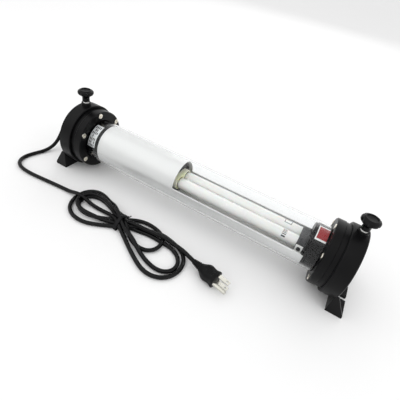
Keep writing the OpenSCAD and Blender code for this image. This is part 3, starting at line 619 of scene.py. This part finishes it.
    def around(self):
        """The angle round the tube's axis in radians, 0 at the top and growing towards the front."""
        place = self.split()
        up = self.math("SUBTRACT", place["Z"], AXIS_Z)
        return self.math("ARCTAN2", self.math("MULTIPLY", place["Y"], -1.0), up)

    def paint(self, factor, colour):
        """Lays a colour over what is there, where the factor is 1."""
        self.colour_out = self.mix(factor, self.colour_out, colour)
        return self

    def done(self):
        """Joins the colour and the normal to the Principled node, and gives the material."""
        if self.colour_out is not None:
            self.link(self.colour_out, self.surface.inputs["Base Color"])
        if self.normal is not None:
            self.link(self.normal, self.surface.inputs["Normal"])
        return self.material


def moulded(name, shade, rough, grain=900, depth=0.00006, edge=0.0005, shine=PLASTIC_SHINE):
    """Black moulded plastic or rubber: fine grain, patchy gloss, rubbed edges."""
    made = Shader(name, (shade, shade, shade * 1.1), rough)
    made.set(Specular_IOR_Level=shine)
    made.tone(38, 0.22).gloss(70, 0.06).wear(edge * 1.4, RUBBED_GREY, 0.5)
    return made.soft_edges(edge).bump(grain, 0.35, depth).done()


def metal(name, colour, rough, brushed=(1, 1, 1)):
    """Bare metal, brushed where its grain is stretched."""
    made = Shader(name, colour, rough, 1.0)
    made.tone(90, 0.08).gloss(500, 0.08, brushed)
    return made.soft_edges(0.0002).bump(1000, 0.2, 0.00002, stretch=brushed).done()


def plastic(name, colour, rough):
    """Coloured moulded plastic."""
    made = Shader(name, colour, rough)
    return made.tone(60, 0.05).gloss(120, 0.06).soft_edges(0.0002).bump(700, 0.25, 0.00003).done()


finishes = {
    "cap_black": moulded("cap_black", 0.0034, 0.36),
    "flange_black": moulded("flange_black", 0.0030, 0.34),
    "bracket_black": moulded("bracket_black", 0.0032, 0.38, grain=1100, depth=0.00008),
    "knob_black": moulded("knob_black", 0.0030, 0.32, edge=0.0006),
    "insert_black": moulded("insert_black", 0.0018, 0.28),
    "holder_black": moulded("holder_black", 0.006, 0.36),
    "gland_black": moulded("gland_black", 0.0055, 0.40),
    "relief_black": moulded("relief_black", 0.006, 0.5),
    "plug_black": moulded("plug_black", 0.0045, 0.38, grain=1400, depth=0.00005),
    "tie_black": moulded("tie_black", 0.009, 0.45, grain=1600),
    "screw_black": moulded("screw_black", 0.006, 0.3),
    "seal_rubber": moulded("seal_rubber", 0.007, 0.6),
    "cord_black": moulded("cord_black", 0.0026, 0.22, 700, 0.00003, 0.0002, CORD_SHINE),
    "bright_screw": metal("bright_screw", (0.84, 0.80, 0.70), 0.24),
    "zinc_screw": metal("zinc_screw", (0.66, 0.66, 0.63), 0.34),
    "stud_zinc": metal("stud_zinc", (0.68, 0.68, 0.66), 0.3),
    "tray_zinc": metal("tray_zinc", (0.66, 0.67, 0.68), 0.38, (1, 6, 6)),
    "pin_brass": metal("pin_brass", (0.80, 0.62, 0.30), 0.25),
    "blade_brass": metal("blade_brass", (0.62, 0.61, 0.55), 0.22, (6, 1, 1)),
    "case_white": plastic("case_white", (0.84, 0.84, 0.82), 0.35),
    "terminal_ivory": plastic("terminal_ivory", (0.82, 0.78, 0.66), 0.5),
    "wire_green": plastic("wire_green", (0.08, 0.30, 0.10), 0.42),
    "wire_white": plastic("wire_white", (0.82, 0.82, 0.80), 0.42),
    "lamp_base_grey": plastic("lamp_base_grey", (0.045, 0.045, 0.048), 0.45),
    "tab_white": plastic("tab_white", (0.86, 0.86, 0.84), 0.4),
    "pad_acetal": plastic("pad_acetal", (0.72, 0.72, 0.70), 0.4),
    "washer_nylon": plastic("washer_nylon", (0.80, 0.80, 0.78), 0.45),
}

# Clip: cream plastic, a little translucent, with patches of green.
made = Shader("clip_cream", (0.90, 0.89, 0.74), 0.42)
made.set(Subsurface_Weight=0.25, Subsurface_Scale=0.004, Subsurface_Radius=(1.0, 0.9, 0.35))
made.tone(70, 0.06).gloss(140, 0.06)
made.paint(made.ranged(made.noise(55, 3), 0.45, 0.65, 0, 0.5), (0.80, 0.83, 0.30))
finishes["clip_cream"] = made.soft_edges(0.0003).bump(600, 0.2, 0.00003).done()

# Sleeve: bright aluminium sheet with a fine grain round the tube.
made = Shader("sleeve_aluminium", (0.83, 0.828, 0.822), 0.44, 0.32)
made.tone(9, 0.012, (0.6, 2, 2)).gloss(260, 0.03, (1, 0.1, 0.1))
made.soft_edges(0.0003).bump(1500, 0.08, 0.00001, stretch=(1, 0.06, 0.06))
finishes["sleeve_aluminium"] = made.done()

# Lamp glass: frosted white, with plain printed marks near the base: a row of dashes and a frame.
MARKS_ABOVE = 0.0568
DASH_PITCH = 0.0019
DASHES_X, DASHES_Y = (0.1432, 0.1490), (-0.0195, -0.0085)
FRAME_X, FRAME_Y = (0.1392, 0.1500), (0.0068, 0.0142)
FRAME_LINE = 0.0008
made = Shader("lamp_white", (0.82, 0.82, 0.80), 0.25)
made.set(Subsurface_Weight=0.2, Subsurface_Scale=0.002, Coat_Weight=0.25, Coat_Roughness=0.1)
made.tone(30, 0.03).gloss(90, 0.06)
on_top = made.within("Z", MARKS_ABOVE, 0.08)
dash = made.math("FRACT", made.math("MULTIPLY", made.split()["Y"], 1 / DASH_PITCH))
dashes = made.product(made.ranged(dash, 0.05, 0.12, 0, 1), made.ranged(dash, 0.55, 0.62, 1, 0))
patch = made.product(made.within("X", *DASHES_X), made.within("Y", *DASHES_Y))
made.paint(made.product(dashes, patch, on_top), (0.02, 0.02, 0.02))
outer = made.product(made.within("Y", *FRAME_Y), made.within("X", *FRAME_X))
inner = made.product(
    made.within("Y", FRAME_Y[0] + FRAME_LINE, FRAME_Y[1] - FRAME_LINE),
    made.within("X", FRAME_X[0] + FRAME_LINE, FRAME_X[1] - FRAME_LINE),
)
made.paint(made.product(made.math("SUBTRACT", outer, inner), on_top), (0.05, 0.05, 0.05))
finishes["lamp_white"] = made.bump(500, 0.12, 0.00002).done()

# Silver label: foil with rows of plain bars, left out here and there.
LABEL_R = 0.0324
LABEL_FIELD_X = (-0.1968, -0.1853)
BAR_LONG = 0.0052
BAR_ROW = 0.0029
BAR_SOFT = 0.04
made = Shader("label_silver", (0.80, 0.81, 0.82), 0.36, 0.35)
made.tone(60, 0.04).gloss(120, 0.04)
across = made.math("MULTIPLY", made.around(), LABEL_R / BAR_LONG)
down = made.math("MULTIPLY", made.split()["X"], 1 / BAR_ROW)
cell = made.node("ShaderNodeCombineXYZ")
made.link(made.math("FLOOR", across), cell.inputs["X"])
made.link(made.math("FLOOR", down), cell.inputs["Y"])
chance = made.node("ShaderNodeTexWhiteNoise")
made.link(cell.outputs["Vector"], chance.inputs["Vector"])
bars = made.ranged(chance.outputs["Value"], 0.34, 0.36, 0, 1)
for value, low, high in ((across, 0.10, 0.90), (down, 0.22, 0.80)):
    share = made.math("FRACT", value)
    rise = made.ranged(share, low, low + BAR_SOFT, 0, 1)
    fall = made.ranged(share, high - BAR_SOFT, high, 1, 0)
    bars = made.product(bars, rise, fall)
made.paint(made.product(bars, made.within("X", *LABEL_FIELD_X)), (0.012, 0.012, 0.012))
finishes["label_silver"] = made.bump(400, 0.08, 0.00001).done()

# Red label: a plain red field with a white border.
RED_ANGLES = (-0.03, 0.56)
RED_SOFT = 0.01
RED_X = (0.1845, 0.1985)
made = Shader("label_red", (0.86, 0.86, 0.85), 0.38)
made.tone(60, 0.03).gloss(150, 0.05)
angle = made.around()
inside = made.product(
    made.ranged(angle, RED_ANGLES[0] - RED_SOFT, RED_ANGLES[0], 0, 1),
    made.ranged(angle, RED_ANGLES[1], RED_ANGLES[1] + RED_SOFT, 1, 0),
)
made.paint(made.product(inside, made.within("X", *RED_X)), (0.33, 0.006, 0.010))
finishes["label_red"] = made.bump(700, 0.12, 0.00002).done()

# Clear tube: polished, faintly cool. Its low index keeps the reflections weak.
made = Shader("clear_glass", (0.985, 0.995, 0.995), 0.02)
made.set(Transmission_Weight=1.0, IOR=1.25, Specular_IOR_Level=0.12)
made.link(made.ranged(made.noise(25, 3), 0.3, 0.8, 0.012, 0.035), made.surface.inputs["Roughness"])
finishes["clear_glass"] = made.bump(12, 0.03, 0.0002, 2).done()

slot_of = {part["node"]: part["material_slot"] for part in frame["record"]["subparts"]}
for name, node in frame["nodes"].items():
    for held in node.material_slots:
        held.material = finishes[slot_of[name]]
for piece, finish in (
    (mains_cord, "cord_black"), (hank_tie, "tie_black"),
    (plug_shell, "plug_black"), (plug_ribs, "plug_black"),
):
    piece.data.materials.append(finishes[finish])
frame["nodes"]["clear_tube"].visible_shadow = False

# ---------------------------------------------------------------- floor and light
FLOOR_HALF = 40
LIGHTS_AIM = (0, 0, 0.05)
WORLD_STRENGTH = 0.88
floor_mesh = bpy.data.meshes.new("floor")
corners = [(x * FLOOR_HALF, y * FLOOR_HALF, 0) for x, y in ((-1, -1), (1, -1), (1, 1), (-1, 1))]
floor_mesh.from_pydata(corners, [], [(0, 1, 2, 3)])
floor = bpy.data.objects.new("floor", floor_mesh)
bpy.context.scene.collection.objects.link(floor)
made = Shader("floor_pale", (0.93, 0.93, 0.93), 0.8)
floor.data.materials.append(made.tone(3, 0.004).done())


def softbox(name, place, size, power):
    """A square area light that faces the object; its size in metres, its power in watts."""
    light = bpy.data.lights.new(name, "AREA")
    light.shape = "SQUARE"
    light.size = size
    light.energy = power
    box = bpy.data.objects.new(name, light)
    box.location = place
    box.rotation_euler = (Vector(LIGHTS_AIM) - Vector(place)).to_track_quat("-Z", "Y").to_euler()
    bpy.context.scene.collection.objects.link(box)


softbox("key", (-0.8, -0.9, 1.9), 2.8, 12)
softbox("side", (2.0, -0.4, 1.2), 1.6, 5.5)
softbox("back", (-0.2, 2.0, 1.4), 1.8, 7.5)
world = bpy.data.worlds.new("studio")
world.use_nodes = True
background = world.node_tree.nodes["Background"]
background.inputs["Color"].default_value = (1, 1, 1, 1)
background.inputs["Strength"].default_value = WORLD_STRENGTH
bpy.context.scene.world = world
bpy.context.scene.view_settings.view_transform = "Standard"

# ---------------------------------------------------------------- hand over
bpy.context.view_layer.update()
